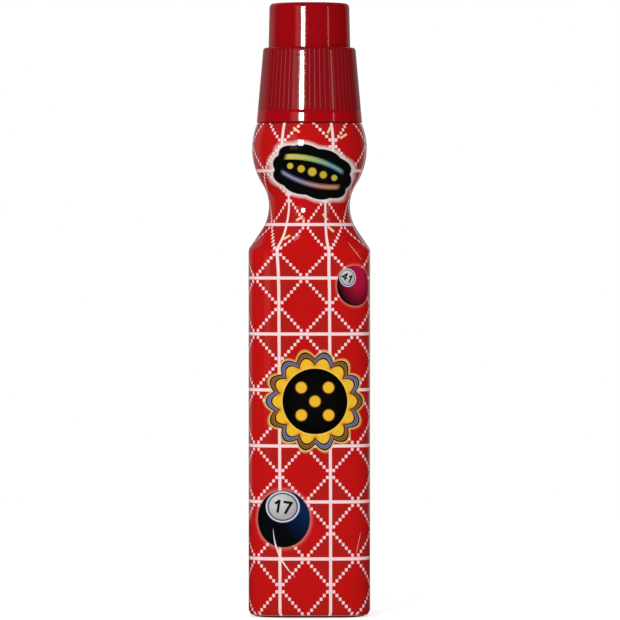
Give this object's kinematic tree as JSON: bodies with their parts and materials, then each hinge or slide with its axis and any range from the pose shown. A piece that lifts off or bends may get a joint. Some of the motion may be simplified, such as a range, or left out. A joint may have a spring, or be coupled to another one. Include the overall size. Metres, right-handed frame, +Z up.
{
  "type": "bingo dauber",
  "caption": "Pocket ink dauber: flat-sided squeeze bottle with waist and bulge in a printed sleeve, spring-valve foam tip and ribbed screw cap.",
  "frame": {"origin": "middle of the foot, on the surface that the bottle stands on", "axes": "+Z up along the bottle to the cap, +X across the wide panels, -Y out of the printed front panel"},
  "size_m": [0.0302, 0.0286, 0.152],
  "materials": {
    "bottle_plastic": "blow-moulded red polyethylene, satin",
    "sleeve_film": "glossy printed shrink film, red with white lines",
    "ink": "wet red ink",
    "applicator_plastic": "natural polyethylene",
    "spring_wire": "drawn stainless wire",
    "valve_plastic": "moulded acetal",
    "seal_rubber": "soft rubber",
    "foam": "open-cell foam soaked with ink",
    "knit": "fine knitted nylon, wet with ink",
    "liner": "foamed polyethylene",
    "cap_plastic": "glossy moulded red plastic"
  },
  "bodies": {
    "bottle_body": {"bottle": "bottle_plastic", "shrink_sleeve": "sleeve_film", "ink_fill": "ink", "applicator_housing": "applicator_plastic", "spring_retainer": "applicator_plastic", "valve_spring": "spring_wire"},
    "dabbing_tip": {"valve_poppet": "valve_plastic", "valve_seal": "seal_rubber", "tip_carrier": "valve_plastic", "sponge_tip": "foam", "tip_cover": "knit", "cover_ring": "applicator_plastic"},
    "cap_seal": {"cap_liner": "liner"},
    "screw_cap": {"cap": "cap_plastic"}
  },
  "joints": [
    {"name": "tip_press", "type": "slide", "parent": "bottle_body", "child": "dabbing_tip", "axis": [0, 0, -1], "range_m": [0, 0.0018], "stiffness_N_per_m": 900, "springref_m": -0.002, "deforming": ["valve_spring"]},
    {"name": "cap_lift_off", "type": "slide", "parent": "bottle_body", "child": "cap_seal", "axis": [0, 0, 1], "range_m": [0, 0.036]},
    {"name": "cap_unscrew", "type": "hinge", "parent": "cap_seal", "child": "screw_cap", "pos_m": [0, 0, 0.13], "axis": [0, 0, 1], "range_deg": [0, 360]}
  ]
}
